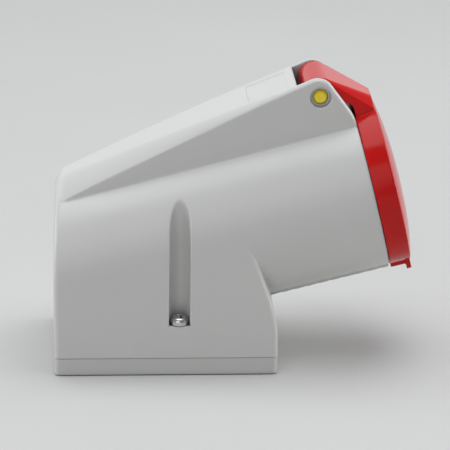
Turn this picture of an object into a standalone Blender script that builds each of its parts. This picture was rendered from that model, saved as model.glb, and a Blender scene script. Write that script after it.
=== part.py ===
"""Wall-mounted industrial socket outlet, 16 A, 3P+N+E, IEC 60309 pattern, with a spring-shut lid.

Frame: origin at the centre of the base plate's wall face, +Z away from the wall, +X towards the
outlet mouth (the front). The body is symmetric about Y = 0. Lengths are in millimetres.
The barrel leaves the foot at BARREL_TILT above the wall plane. In (t, r), t runs along the
barrel's axis and r is the distance above it; names ending in _T are such places along the axis.
"""

import math

import bmesh
import bpy
from mathutils import Matrix, Vector

MM = 0.001

# ---- housing ----
BARREL_TILT = 14.27  # degrees
AXIS_Z = 46.0  # height of the barrel's axis at X = 0
BARREL_R = 31.9
BORE_R = 28.9  # the plug's collar runs in here
MOUTH_T = 81.24
BEYOND_MOUTH_T = 96.0  # cutters that leave through the mouth end here
WALL = 2.6
FOOT_X, FOOT_Y = 42.4, 31.85  # half sizes of the foot
BACK_X = -FOOT_X
SPLIT_Z = 6.7  # parting plane between base plate and housing
SPLIT_GAP = 0.1
CORNER_R = 2.0
TOP_X, TOP_Z, TOP_SLOPE = 48.84, 108.44, 0.447  # the sloped top face runs through this point
RIDGE_WALL = 2.5
RIB_Y, RIB_R = 8.0, 32.3  # the flat-bottomed rib under the barrel, over the keyway
KEYWAY_Y, KEYWAY_R = 4.0, 31.1
WEB_T0, WEB_T1 = 24.0, 27.0  # the wall inside the barrel that carries the insert
WEB_HOLE_R = 22.6

# ---- hinge ----
EAR_OUT, EAR_IN = 15.7, 13.3  # half-widths at the hinge
EAR_SPREAD = 0.014  # growth of the ridge's half-width for each mm towards the back
PIN_X, PIN_Z, PIN_R = 57.75, 104.42, 2.75
PIN_HALF = 14.6
PIN_HOLE_R = PIN_R + 0.15
PIN_CHAMFER = 0.8
PIN_RECESS_R, PIN_RECESS_Y = 4.0, 14.0
KNUCKLE_Y = 12.9
SPRING_POCKET_R, SPRING_POCKET_Y = 5.5, 6.0
HINGE = (PIN_X, 0, PIN_Z)

# ---- the two housing screws ----
CHANNEL_X, CHANNEL_Y, CHANNEL_R = 4.86, 28.55, 3.95
SHELF_Z = 19.5  # the screw head rests here
BOSS_R = 5.6

# ---- insert, contacts and terminals ----
COLLAR_R, COLLAR_T = 28.5, 38.0
INSERT_R, INSERT_T = 25.0, 76.0
PIN_CIRCLE_R = 16.5
SLEEVE_R, SLEEVE_BORE = 4.0, 2.6
EARTH_R, EARTH_BORE = 5.0, 3.6
EARTH_STEP_T = 28.5  # the earth contact widens here
CONTACT_T0, CONTACT_T1 = 10.0, 71.4
WIRE_HOLE_R, WIRE_HOLE_T = 1.9, 22.0
BORE_FLOOR_T = 36.0
POCKET_STEP_T = 72.0  # the insert's pockets narrow here
BLOCK_R, BLOCK_FLAT, BLOCK_T0, BLOCK_T1 = 21.5, 21.0, 8.0, 26.9
TERMINAL_T = 16.0
GRUB_TOP_R = 22.1  # distance of a terminal screw's top from its contact's spoke origin
FIX_R, FIX_ANGLE = 26.4, 35.0  # where the two screws hold the insert to the web

# ---- lid ----
LID_R, LID_T0, LID_T1, LID_DOME_T = 32.1, 81.64, 89.44, 92.6
LID_CROWN_T = 89.95  # where the dome meets its rim
LID_SEAT_T = LID_T0 + 3.0  # floor of the gasket's seat
LID_WALL = 2.0
ARM_TOP = (Vector((74.04, 48.25)), Vector((89.2, 33.43)))  # the arm's flat top face, in (t, r)
ARM_THICK = 3.7
ARM_FOOT_R = 27.0

# ---- cable entry and base plate ----
ENTRY_Z, ENTRY_R, ENTRY_FLANGE_R = 29.0, 12.6, 14.3
ENTRY_STEP = 1.5  # depth of the flange's recess in the back wall
BASE_X, BASE_Y = FOOT_X - 0.25, FOOT_Y - 0.2  # half sizes
POCKET_INSET = 4.4
MOUNT_HOLE_R, MOUNT_X, MOUNT_Y = 2.6, 30.0, 20.0
KNOCKOUT_X = -16.0

SIDES = ((-1, "near"), (1, "far"))  # sign of Y, name
POLES = ("earth", "neutral", "line_1", "line_2", "line_3")
EARTH_ANGLE = 180.0  # on the keyway side; the others follow round the circle

COS_TILT = math.cos(math.radians(BARREL_TILT))
SIN_TILT = math.sin(math.radians(BARREL_TILT))
TAN_TILT = SIN_TILT / COS_TILT

for old in list(bpy.data.objects):
    bpy.data.objects.remove(old)
COLLECTION = bpy.context.scene.collection


# ================= frames =================
def on_axis(t, r=0.0, y=0.0):
    """World point at t along the barrel's axis, r above it and y to the side."""
    return Vector((t * COS_TILT - r * SIN_TILT, y, AXIS_Z + t * SIN_TILT + r * COS_TILT))


def axis_z(x):
    """Height of the barrel's axis at x."""
    return AXIS_Z + x * TAN_TILT


def top_z(x, drop=0.0):
    """Height at x of the sloped top face, or of a plane the distance drop inside it."""
    return TOP_Z + TOP_SLOPE * (x - TOP_X) - drop * math.hypot(1, TOP_SLOPE)


def upright(x, y):
    """Local X points up, along world +Z, through (x, y)."""
    return Matrix.Translation((x, y, 0)) @ Matrix.Rotation(-math.pi / 2, 4, "Y")


def screw_frame(side):
    """Local X points up along a housing screw."""
    return upright(CHANNEL_X, side * CHANNEL_Y)


def fixing_frame(side):
    """Local X runs along a screw that holds the insert, parallel to the barrel's axis."""
    angle = math.radians(FIX_ANGLE)
    place = (0, side * FIX_R * math.cos(angle), FIX_R * math.sin(angle))
    return AXIS_FRAME @ Matrix.Translation(place)


# local X along the barrel, local Z across it
AXIS_FRAME = Matrix(
    ((COS_TILT, 0, -SIN_TILT, 0), (0, 1, 0, 0), (SIN_TILT, 0, COS_TILT, AXIS_Z), (0, 0, 0, 1))
)
PIN_FRAME = Matrix.Translation(HINGE) @ Matrix.Rotation(math.pi / 2, 4, "Z")  # local X along +Y
ENTRY_FRAME = Matrix.Translation((0, 0, ENTRY_Z))


# ================= materials =================
def material(name, colour, roughness, metallic=0.0):
    mat = bpy.data.materials.new(name)
    mat.use_nodes = True
    inputs = mat.node_tree.nodes["Principled BSDF"].inputs
    inputs["Base Color"].default_value = (*colour, 1)
    inputs["Roughness"].default_value = roughness
    inputs["Metallic"].default_value = metallic
    mat.diffuse_color = (*colour, 1)
    return mat


GREY = material("housing_grey", colour=(0.60, 0.60, 0.59), roughness=0.38)
BASE_GREY = material("base_grey", colour=(0.52, 0.51, 0.48), roughness=0.45)
RED = material("lid_red", colour=(0.55, 0.02, 0.015), roughness=0.30)
YELLOW = material("pin_yellow", colour=(0.80, 0.58, 0.04), roughness=0.35)
RUBBER = material("seal_rubber", colour=(0.03, 0.03, 0.03), roughness=0.75)
INSERT_BLACK = material("insert_black", colour=(0.045, 0.045, 0.05), roughness=0.5)
BLOCK_GREY = material("block_grey", colour=(0.30, 0.31, 0.32), roughness=0.5)
BRASS = material("contact_brass", colour=(0.72, 0.56, 0.27), roughness=0.3, metallic=1.0)
STEEL = material("screw_steel", colour=(0.62, 0.62, 0.63), roughness=0.3, metallic=1.0)


# ================= building bodies =================
def build(name, verts, faces, mat=None, frame=None, origin=(0, 0, 0), smooth=None, parent=None):
    """One closed body. verts lie in frame; the object's own origin is at the world point origin."""
    origin = Vector(origin)
    bm = bmesh.new()
    corners = []
    for vert in verts:
        point = Vector(vert)
        if frame is not None:
            point = frame @ point
        corners.append(bm.verts.new((point - origin) * MM))
    for face in faces:
        bm.faces.new([corners[i] for i in face])
    bmesh.ops.recalc_face_normals(bm, faces=bm.faces)
    mesh = bpy.data.meshes.new(name)
    bm.to_mesh(mesh)
    bm.free()
    if mat is not None:
        mesh.materials.append(mat)
    if smooth is not None:
        mesh.shade_smooth()
        mesh.set_sharp_from_angle(angle=math.radians(smooth))
    body = bpy.data.objects.new(name, mesh)
    COLLECTION.objects.link(body)
    place = origin * MM
    if parent is not None:
        body.parent = parent
        place = place - parent.location
    body.location = place
    return body


def turned(name, profile, segments, mat=None, frame=None, ring=False, **placing):
    """Points (t, radius) spun about local X. An open profile starts and ends on the axis;
    ring closes it on itself."""
    verts, faces, rows = [], [], []
    for t, radius in profile:
        first = len(verts)
        if radius == 0:
            verts.append((t, 0, 0))
        else:
            for k in range(segments):
                angle = 2 * math.pi * k / segments
                verts.append((t, radius * math.sin(angle), radius * math.cos(angle)))
        rows.append(range(first, len(verts)))
    pairs = list(zip(rows, rows[1:]))
    if ring:
        pairs.append((rows[-1], rows[0]))
    for a, b in pairs:
        for k in range(segments):
            j = (k + 1) % segments
            if len(a) == 1:
                faces.append((a[0], b[k], b[j]))
            elif len(b) == 1:
                faces.append((a[k], b[0], a[j]))
            else:
                faces.append((a[k], b[k], b[j], a[j]))
    return build(name, verts, faces, mat, frame, smooth=35, **placing)


def rod(name, radius, segments, start, end, frame):
    profile = [(start, 0), (start, radius), (end, radius), (end, 0)]
    return turned(name, profile, segments, frame=frame)


def bridge(name, low, high, mat=None, frame=None, **placing):
    """A capped body between two loops with equal numbers of points."""
    n = len(low)
    faces = [tuple(range(n)), tuple(range(2 * n - 1, n - 1, -1))]
    faces += [(k, (k + 1) % n, n + (k + 1) % n, n + k) for k in range(n)]
    return build(name, low + high, faces, mat, frame, **placing)


def prism(name, loop, low, high, plane, mat=None, frame=None, **placing):
    """A flat loop in the named plane, pushed from low to high along the third axis."""
    put = {
        "xy": lambda a, b, h: (a, b, h),
        "xz": lambda a, b, h: (a, h, b),
        "yz": lambda a, b, h: (h, a, b),
    }[plane]
    ends = [[put(a, b, height) for a, b in loop] for height in (low, high)]
    return bridge(name, *ends, mat, frame, **placing)


def loop_ring(name, outer, inner, low, high, mat=None, **placing):
    """The band between two XY loops with equal numbers of points."""
    n = len(outer)
    verts = [(x, y, low) for x, y in outer] + [(x, y, high) for x, y in outer]
    verts += [(x, y, high) for x, y in inner] + [(x, y, low) for x, y in inner]
    faces = []
    for k in range(n):
        j = (k + 1) % n
        for row in range(4):
            after = (row + 1) % 4
            faces.append((row * n + k, row * n + j, after * n + j, after * n + k))
    return build(name, verts, faces, mat, **placing)


def bar(name, t0, r0, t1, r1, half_width):
    """A square-edged bar along the barrel."""
    return prism(name, box(t0, r0, t1, r1), -half_width, half_width, "xz", frame=AXIS_FRAME)


def skew_barrel(name, radius, back_x, end_t, rings, segments):
    """The barrel as a round bar cut upright at its back and square at its front.
    rings are (inset from back_x, loss of radius)."""
    verts = []
    for k in range(segments):
        angle = 2 * math.pi * k / segments
        for inset, loss in rings:
            ring_r = radius - loss
            x = back_x + inset
            z = axis_z(x) + ring_r * math.cos(angle) / COS_TILT
            verts.append((x, ring_r * math.sin(angle), z))
        verts.append(tuple(on_axis(end_t, radius * math.cos(angle), radius * math.sin(angle))))
    m = len(rings) + 1
    faces = [
        tuple(k * m for k in range(segments)),
        tuple(k * m + m - 1 for k in reversed(range(segments))),
    ]
    for k in range(segments):
        j = (k + 1) % segments
        for i in range(m - 1):
            faces.append((k * m + i, j * m + i, j * m + i + 1, k * m + i + 1))
    return build(name, verts, faces, smooth=35)


def bevel(body, wanted, width, segments):
    """Round the edges whose two end points, in metres, pass wanted."""
    bm = bmesh.new()
    bm.from_mesh(body.data)
    edges = [e for e in bm.edges if wanted(e.verts[0].co, e.verts[1].co)]
    bmesh.ops.bevel(
        bm, geom=edges, offset=width * MM, segments=segments,
        profile=0.5, affect="EDGES", clamp_overlap=True,
    )
    bmesh.ops.recalc_face_normals(bm, faces=bm.faces)
    bm.to_mesh(body.data)
    bm.free()


def combine(body, helper, operation):
    """Apply helper to body as a boolean, and keep helper out of renders."""
    helper.hide_render = True
    helper.display_type = "WIRE"
    mod = body.modifiers.new(helper.name, "BOOLEAN")
    mod.operation = operation
    mod.solver = "EXACT"
    mod.object = helper


def cut(body, helper):
    combine(body, helper, "DIFFERENCE")


def join(body, helper):
    combine(body, helper, "UNION")


# ================= flat loops =================
def box(a0, b0, a1, b1):
    return [(a0, b0), (a1, b0), (a1, b1), (a0, b1)]


def circle(radius, n, cx):
    angles = [2 * math.pi * k / n for k in range(n)]
    return [(cx + radius * math.cos(a), radius * math.sin(a)) for a in angles]


def rounded(points, steps):
    """Corners (a, b, radius) to a loop whose corners are arcs tangent to both sides."""
    loop = []
    for i, (a, b, radius) in enumerate(points):
        if radius <= 0:
            loop.append((a, b))
            continue
        corner = Vector((a, b))
        back = (Vector(points[i - 1][:2]) - corner).normalized()
        ahead = (Vector(points[(i + 1) % len(points)][:2]) - corner).normalized()
        half = math.acos(max(-1, min(1, back.dot(ahead)))) / 2
        reach = radius / math.tan(half)
        centre = corner + (back + ahead).normalized() * (radius / math.sin(half))
        start = corner + back * reach - centre
        end = corner + ahead * reach - centre
        angle0 = math.atan2(start.y, start.x)
        turn = (math.atan2(end.y, end.x) - angle0 + math.pi) % (2 * math.pi) - math.pi
        for k in range(steps + 1):
            angle = angle0 + turn * k / steps
            loop.append(
                (centre.x + radius * math.cos(angle), centre.y + radius * math.sin(angle))
            )
    return loop


def rounded_rect(half_x, half_y, radius, steps):
    corners = box(-half_x, -half_y, half_x, half_y)
    return rounded([(x, y, radius) for x, y in corners], steps)


def lane(inset, radius, distance, steps=8):
    """The base plate's outline moved in by inset, with a detour inwards round each housing screw
    at the given distance."""
    half_x, half_y = BASE_X - inset, BASE_Y - inset
    corner_steps = 3
    n = corner_steps + 1
    rect = rounded_rect(half_x, half_y, radius, corner_steps)
    low = math.asin(max(0.0, CHANNEL_Y - half_y) / distance)
    detour = []
    for k in range(steps + 1):
        angle = low + (math.pi - 2 * low) * k / steps
        x = CHANNEL_X - distance * math.cos(angle)
        detour.append((x, -CHANNEL_Y + distance * math.sin(angle)))
    if half_y > CHANNEL_Y:
        before, after = (CHANNEL_X - distance, -half_y), (CHANNEL_X + distance, -half_y)
        detour = [before, *detour, after]
    mirrored = [(x, -y) for x, y in reversed(detour)]
    return rect[:n] + detour + rect[n : 3 * n] + mirrored + rect[3 * n :]


def plus(cx, cy, length, width):
    a, b = length / 2, width / 2
    loop = [
        (-a, -b), (-b, -b), (-b, -a), (b, -a), (b, -b), (a, -b),
        (a, b), (b, b), (b, a), (-b, a), (-b, b), (-a, b),
    ]
    return [(cx + x, cy + y) for x, y in loop]


# ================= housing =================
def foot(name, inset, low_z, half_y, radius, mat=None):
    """The foot: upright at the back, its front leaning back as it rises to the barrel."""
    i = inset
    outline = [  # (x, z)
        (BACK_X + i, low_z),
        (BACK_X + i, axis_z(BACK_X) - 0.5 - 0.7 * i),
        (30.3 - i, axis_z(30.3) - 0.6 - 0.8 * i),
        (33.3 - i, 47.0 - 0.4 * i),
        (35.7 - i, 40.2 - 0.4 * i),
        (39.9 - i, 27.8 - 0.2 * i),
        (42.1 - i, 18.1),
        (FOOT_X - i, 12.0),
        (FOOT_X - i, low_z),
    ]
    body = prism(name, outline, -half_y, half_y, "xz", mat)

    def rising(p, q):
        """Edges up the front and back of both sides; the ones crossing X = 0 stay sharp."""
        return abs(p.y - q.y) < 1e-6 and abs(p.z - q.z) > 1e-4 and p.x * q.x >= 0

    bevel(body, rising, radius, segments=3)
    return body


def ridge(name, outline, wall):
    """A wedge over the barrel, from an (x, z) outline, that widens towards the back."""
    def side(sign):
        return [(x, sign * (EAR_OUT + (PIN_X - x) * EAR_SPREAD - wall), z) for x, z in outline]

    return bridge(name, side(-1), side(1))


def outer_barrel():
    rings = [(0, 1.4), (0.5, 0.5), (1.5, 0)]
    barrel = skew_barrel("tool_barrel", BARREL_R, BACK_X + 0.08, MOUTH_T, rings, 72)
    # the barrel's lower back would stand below the parting plane
    below = prism("tool_barrel_trim", box(-60, -40, 60, 40), -30.0, SPLIT_Z + 1.3, "xy")
    cut(barrel, below)
    return barrel


def outer_ridge():
    """Carries the sloped top and, at its front, the two hinge ears."""
    mouth = on_axis(MOUTH_T, math.sqrt(BARREL_R**2 - EAR_OUT**2))
    corners = [  # (x, z, corner radius)
        (-42.1, 56.0, 0), (-41.7, 64.0, 0), (-38.8, top_z(-38.8), 2.0), (59.0, top_z(59.0), 5.0),
        (71.4, 96.3, 2.0), (mouth.x - 0.15, mouth.z, 0), (69.5, 87.0, 0), (-39.0, 50.0, 0),
    ]
    wedge = ridge("tool_ridge", rounded(corners, 5), 0.0)

    def long_top(p, q):
        return (p - q).length > 0.09 and max(p.z, q.z) > 0.1

    bevel(wedge, long_top, 1.6, segments=2)
    return wedge


def hollow():
    """The space in the foot, the back of the barrel and the ridge, less what stays as plastic."""
    cavity = foot("tool_cavity", WALL, -4.0, FOOT_Y - WALL, 1.0)
    rings = [(0, 2.0), (2.2, 0)]
    back_x = BACK_X + WALL + 0.1
    inside_r = BARREL_R - WALL
    join(cavity, skew_barrel("tool_cavity_barrel", inside_r, back_x, WEB_T0 + 1.0, rings, 64))
    front_x = TOP_X - WALL
    outline = [  # (x, z)
        (-39.4, 54.0), (-39.0, 61.5), (-37.0, top_z(-37.0, WALL) - 0.6),
        (front_x, top_z(front_x, WALL)), (front_x, 84.0), (-38.0, 50.0),
    ]
    join(cavity, ridge("tool_cavity_ridge", outline, RIDGE_WALL))
    cut(cavity, rod("tool_tube", BARREL_R + 0.02, 72, WEB_T0, BEYOND_MOUTH_T, AXIS_FRAME))
    for side, tag in SIDES:
        cut(cavity, rod(f"tool_boss_{tag}", BOSS_R, 24, -8.0, 74.0, screw_frame(side)))
    cut(cavity, rod("tool_entry_boss", 16.4, 40, BACK_X + 1.0, BACK_X + 3.9, ENTRY_FRAME))
    return cavity


def cut_hinge_gap(housing):
    """The gap between the two ears that holds the lid's knuckle."""
    rise = (BARREL_R + 0.05) / COS_TILT
    far_x, over_z = 100, 130
    outline = [
        (TOP_X, axis_z(TOP_X) + rise), (TOP_X, over_z),
        (far_x, over_z), (far_x, axis_z(far_x) + rise),
    ]
    cut(housing, prism("tool_hinge_gap", outline, -EAR_IN, EAR_IN, "xz"))


def cut_channel(housing, side, tag):
    """The screw channel, open to the side, over a shelf for the screw's head."""
    loop = []
    for k in range(13):
        angle = math.pi * k / 12
        y = side * (CHANNEL_Y - CHANNEL_R * math.sin(angle))
        loop.append((CHANNEL_X + CHANNEL_R * math.cos(angle), y))
    loop += [(CHANNEL_X - CHANNEL_R, side * 45), (CHANNEL_X + CHANNEL_R, side * 45)]
    cut(housing, prism(f"tool_channel_{tag}", loop, SHELF_Z, 86.0, "xy"))


def cut_entry(housing):
    """Stepped hole in the back wall: the seal's flange lies flush in the wider part."""
    flange_r, step_x = ENTRY_FLANGE_R + 0.2, BACK_X + ENTRY_STEP
    profile = [
        (-50, 0), (-50, flange_r), (step_x, flange_r), (step_x, ENTRY_R), (-35, ENTRY_R), (-35, 0),
    ]
    cut(housing, turned("tool_entry", profile, 44, frame=ENTRY_FRAME))


def make_housing():
    housing = foot("housing", 0.0, SPLIT_Z + SPLIT_GAP, FOOT_Y, CORNER_R, GREY)
    join(housing, outer_barrel())
    join(housing, bar("tool_rib", 31, -RIB_R, MOUTH_T - 0.35, -29.6, RIB_Y))
    join(housing, outer_ridge())
    cut(housing, hollow())
    cut(housing, rod("tool_bore", BORE_R, 64, WEB_T1, BEYOND_MOUTH_T, AXIS_FRAME))
    cut(housing, rod("tool_web_hole", WEB_HOLE_R, 56, WEB_T0 - 4, WEB_T1 + 4, AXIS_FRAME))
    # keyway at the bottom of the bore, which sets the plug's turn
    cut(housing, bar("tool_keyway", 40, -KEYWAY_R, BEYOND_MOUTH_T, -26, KEYWAY_Y))
    cut_hinge_gap(housing)
    cut(housing, rod("tool_pin_hole", PIN_HOLE_R, 32, -20, 20, PIN_FRAME))
    for side, tag in SIDES:
        low, high = sorted((side * PIN_RECESS_Y, side * 20))
        cut(housing, rod(f"tool_pin_recess_{tag}", PIN_RECESS_R, 28, low, high, PIN_FRAME))
        cut_channel(housing, side, tag)
        cut(housing, rod(f"tool_screw_hole_{tag}", 2.2, 20, 5.0, 25.0, screw_frame(side)))
        fixing = fixing_frame(side)
        cut(housing, rod(f"tool_fix_hole_{tag}", 1.5, 16, WEB_T0 - 3, WEB_T1 + 3, fixing))
    cut_entry(housing)


# ================= base plate and its gasket =================
def make_base():
    outline = rounded_rect(BASE_X, BASE_Y, CORNER_R - 0.2, 4)
    base = prism("base_plate", outline, 0.0, SPLIT_Z - SPLIT_GAP, "xy", BASE_GREY)
    pocket = lane(POCKET_INSET, 2.0, BOSS_R + 0.2, 12)
    cut(base, prism("tool_base_pocket", pocket, 2.6, 20, "xy"))
    groove = lane(0.95, 3.4, 2.95), lane(2.65, 2.2, 4.65)
    cut(base, loop_ring("tool_gasket_groove", *groove, 4.9, 9.0))
    for side, tag in SIDES:
        cut(base, rod(f"tool_base_thread_{tag}", 2.15, 20, 2.2, 14.0, screw_frame(side)))
    for i, (x, y) in enumerate(box(-MOUNT_X, -MOUNT_Y, MOUNT_X, MOUNT_Y)):
        join(base, rod(f"tool_mount_rim_{i}", 4.9, 20, 1.6, 4.6, upright(x, y)))
        cut(base, rod(f"tool_mount_hole_{i}", MOUNT_HOLE_R, 20, -3.0, 8.0, upright(x, y)))
    # thin ring on the wall face round the knock-out for a cable from behind
    ring = circle(10.2, 36, KNOCKOUT_X), circle(9.2, 36, KNOCKOUT_X)
    cut(base, loop_ring("tool_knockout", *ring, -3.0, 1.2))


def make_base_gasket():
    """Lies in the base plate's groove."""
    edges = lane(1.15, 3.2, 3.15), lane(2.45, 2.4, 4.45)
    loop_ring("base_gasket", *edges, 5.1, SPLIT_Z, RUBBER, smooth=35)


# ================= screws =================
def make_housing_screw(side, tag):
    x, y = CHANNEL_X, side * CHANNEL_Y
    shank_r, head_r, head_z = 1.95, 3.7, SHELF_Z + 0.2
    profile = [
        (3.0, 0), (3.0, 1.1), (3.9, shank_r), (head_z, shank_r), (head_z, head_r),
        (SHELF_Z + 1.9, head_r), (SHELF_Z + 2.4, 3.3), (SHELF_Z + 2.75, 2.1), (SHELF_Z + 2.85, 0),
    ]
    name = f"housing_screw_{tag}"
    screw = turned(name, profile, 24, STEEL, screw_frame(side), origin=(x, y, SHELF_Z))
    recess = plus(x, y, length=4.2, width=0.9)
    cut(screw, prism(f"tool_cross_{tag}", recess, SHELF_Z + 1.2, SHELF_Z + 5, "xy"))


def make_carrier_screw(side, tag):
    """Head behind the web, shank forward into the insert."""
    frame = fixing_frame(side)
    shank_r, head_t, tip_t = 1.15, WEB_T0 - 0.2, 33.6
    profile = [
        (WEB_T0 - 2.3, 0), (WEB_T0 - 2.3, 1.5), (WEB_T0 - 1.8, 2.4), (head_t, 2.6),
        (head_t, shank_r), (33.0, shank_r), (tip_t, 0.5), (tip_t, 0),
    ]
    origin = frame @ Vector((WEB_T0, 0, 0))
    turned(f"carrier_screw_{tag}", profile, 16, STEEL, frame, origin=origin)


# ================= insert, contacts and terminals =================
def make_carrier():
    back_t = WEB_T1 + 0.3
    profile = [
        (back_t, 0), (back_t, COLLAR_R), (COLLAR_T, COLLAR_R), (COLLAR_T, INSERT_R),
        (INSERT_T - 1.0, INSERT_R), (INSERT_T, INSERT_R - 1.0), (INSERT_T, 0),
    ]
    origin = on_axis(INSERT_T)
    return turned("contact_carrier", profile, 56, INSERT_BLACK, AXIS_FRAME, origin=origin)


def make_terminal_block():
    """A round block with a flat on each side."""
    loop = []
    for k in range(48):
        angle = 2 * math.pi * k / 48
        y = max(-BLOCK_FLAT, min(BLOCK_FLAT, BLOCK_R * math.sin(angle)))
        loop.append((y, BLOCK_R * math.cos(angle)))
    return prism(
        "terminal_block", loop, BLOCK_T0, BLOCK_T1, "yz", BLOCK_GREY, AXIS_FRAME,
        origin=on_axis(BLOCK_T0), smooth=35,
    )


def make_contact(pole, frame, front_r, bore):
    """A sleeve with a wire hole at its back and the bore for the plug's pin at its front."""
    widening = [(EARTH_STEP_T, SLEEVE_R), (EARTH_STEP_T, EARTH_R)] if pole == "earth" else []
    profile = [
        (WIRE_HOLE_T, 0), (WIRE_HOLE_T, WIRE_HOLE_R), (CONTACT_T0, WIRE_HOLE_R),
        (CONTACT_T0, SLEEVE_R), *widening, (CONTACT_T1, front_r), (CONTACT_T1, bore),
        (BORE_FLOOR_T, bore), (BORE_FLOOR_T, 0),
    ]
    origin = frame @ Vector((CONTACT_T0, 0, 0))
    return turned(f"contact_{pole}", profile, 20, BRASS, frame, origin=origin)


def make_terminal_screw(pole, spoke):
    top = GRUB_TOP_R
    profile = [(17.4, 0), (17.4, 0.9), (17.9, 1.35), (top, 1.35), (top, 0)]
    origin = spoke @ Vector((top, 0, 0))
    grub = turned(f"terminal_screw_{pole}", profile, 14, STEEL, spoke, origin=origin)
    cut(grub, prism(f"tool_slot_{pole}", box(21.2, -0.3, 23, 0.3), -3, 3, "xz", frame=spoke))


def make_pole(pole, degrees, carrier, block):
    angle = math.radians(degrees)
    out = Vector((0, math.sin(angle), math.cos(angle)))
    frame = AXIS_FRAME @ Matrix.Translation(out * PIN_CIRCLE_R)
    front_r, bore = (EARTH_R, EARTH_BORE) if pole == "earth" else (SLEEVE_R, SLEEVE_BORE)
    wide, narrow = front_r + 0.2, bore + 0.25
    pocket = [
        (20.0, 0), (20.0, wide), (POCKET_STEP_T, wide), (POCKET_STEP_T, narrow),
        (80.0, narrow), (80.0, 0),
    ]
    cut(carrier, turned(f"tool_pocket_{pole}", pocket, 22, frame=frame))
    cut(block, rod(f"tool_block_{pole}", SLEEVE_R + 0.2, 20, 4.0, 30.0, frame))
    contact = make_contact(pole, frame, front_r, bore)
    # local X points outwards from the barrel's axis, through the sleeve's clamp
    turn = Matrix(((0, 0, 1, 0), (out.y, out.z, 0, 0), (out.z, -out.y, 0, 0), (0, 0, 0, 1)))
    spoke = AXIS_FRAME @ Matrix.Translation((TERMINAL_T, 0, 0)) @ turn
    cut(contact, rod(f"tool_thread_{pole}", 1.6, 14, PIN_CIRCLE_R, 26.0, spoke))
    cut(block, rod(f"tool_access_{pole}", 2.3, 14, PIN_CIRCLE_R + 1.0, 30.0, spoke))
    make_terminal_screw(pole, spoke)


def make_insert():
    carrier = make_carrier()
    block = make_terminal_block()
    for side, tag in SIDES:
        cut(carrier, rod(f"tool_pilot_{tag}", 1.25, 12, 25.0, 34.5, fixing_frame(side)))
    for i, pole in enumerate(POLES):
        make_pole(pole, EARTH_ANGLE + i * 360 / len(POLES), carrier, block)


# ================= cable entry seal =================
def make_grommet():
    neck_r = ENTRY_R - 0.3
    steps = [  # (distance in from the foot's back face, radius)
        (0.15, 0), (0.15, ENTRY_FLANGE_R - 0.5), (0.55, ENTRY_FLANGE_R), (1.3, ENTRY_FLANGE_R),
        (1.3, neck_r), (4.2, neck_r), (4.2, ENTRY_R + 1.2), (6.0, ENTRY_R + 0.2),
        (6.0, 10.0), (1.6, 9.0), (1.6, 0),
    ]
    profile = [(BACK_X + depth, radius) for depth, radius in steps]
    origin = (BACK_X, 0, ENTRY_Z)
    turned("cable_grommet", profile, 40, RUBBER, ENTRY_FRAME, origin=origin)


# ================= lid, on its hinge =================
def make_pivot():
    pivot = bpy.data.objects.new("lid_pivot", None)
    pivot.location = Vector(HINGE) * MM
    COLLECTION.objects.link(pivot)
    return pivot


def make_arm():
    """The arm from the hinge knuckle to the lid, drawn in (t, r)."""
    rise = PIN_Z - AXIS_Z
    pin = Vector(
        (PIN_X * COS_TILT + rise * SIN_TILT, -PIN_X * SIN_TILT + rise * COS_TILT)
    )
    top_start, top_end = ARM_TOP
    along = (top_end - top_start).normalized()
    normal = Vector((-along.y, along.x))
    knuckle_r = normal.dot(top_start - pin)  # tangent to the top face
    angle0 = math.atan2(normal.y, normal.x)
    sweep = 2 * math.pi - math.acos((knuckle_r - ARM_THICK) / knuckle_r)
    outline = []
    for k in range(31):
        angle = angle0 + sweep * k / 30
        outline.append(tuple(pin + Vector((math.cos(angle), math.sin(angle))) * knuckle_r))
    foot_t = LID_T0 + 0.3
    below = top_start - normal * ARM_THICK
    below = below + along * ((foot_t - below.x) / along.x)
    outline += [tuple(below), (foot_t, ARM_FOOT_R), (top_end.x, ARM_FOOT_R), tuple(top_end)]
    arm = prism("tool_arm", outline, -KNUCKLE_Y, KNUCKLE_Y, "xz", frame=AXIS_FRAME)
    cut(arm, rod("tool_arm_inside", LID_R - 1.0, 72, 60, 99, AXIS_FRAME))
    return arm


def make_lid(pivot):
    crown = []
    for k in range(6):
        t = LID_CROWN_T + (LID_DOME_T - LID_CROWN_T) * (1 - (k / 5) ** 2.4)
        crown.append((t, (LID_R - 0.6) * k / 5))
    rim = [(LID_T1, LID_R), (LID_T0 + 0.4, LID_R), (LID_T0, LID_R - 0.3)]
    inner_r = LID_R - LID_WALL
    inside = [
        (LID_T0, inner_r), (LID_SEAT_T, inner_r), (LID_SEAT_T, 26.8),
        (88.2, 26.6), (89.2, 20.0), (LID_DOME_T - 2.4, 0),
    ]
    profile = crown + rim + inside
    lid = turned("lid", profile, 72, RED, AXIS_FRAME, origin=HINGE, parent=pivot)
    join(lid, make_arm())
    # the catch and the tab under it, opposite the hinge
    join(lid, bar("tool_catch", 82.14, -32.4, 87.54, -30.4, 8.6))
    join(lid, bar("tool_tab", 87.34, -34.8, 89.1, -30.4, 9.2))
    cut(lid, rod("tool_lid_pin_hole", PIN_HOLE_R, 32, -20, 20, PIN_FRAME))
    half = SPRING_POCKET_Y
    cut(lid, rod("tool_spring_pocket", SPRING_POCKET_R, 32, -half, half, PIN_FRAME))
    # room for the spring's legs
    way = box(PIN_X - 9, 90, PIN_X + 7.5, PIN_Z - 2.9)
    cut(lid, prism("tool_spring_way", way, -half + 0.1, half - 0.1, "xz"))


def make_lid_gasket(pivot):
    profile = [
        (81.44, 27.5), (81.44, 29.4), (82.14, 29.8), (84.34, 29.8), (84.34, 27.0), (82.14, 27.0),
    ]
    turned(
        "lid_gasket", profile, 64, RUBBER, AXIS_FRAME, ring=True, origin=HINGE, parent=pivot
    )


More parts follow.
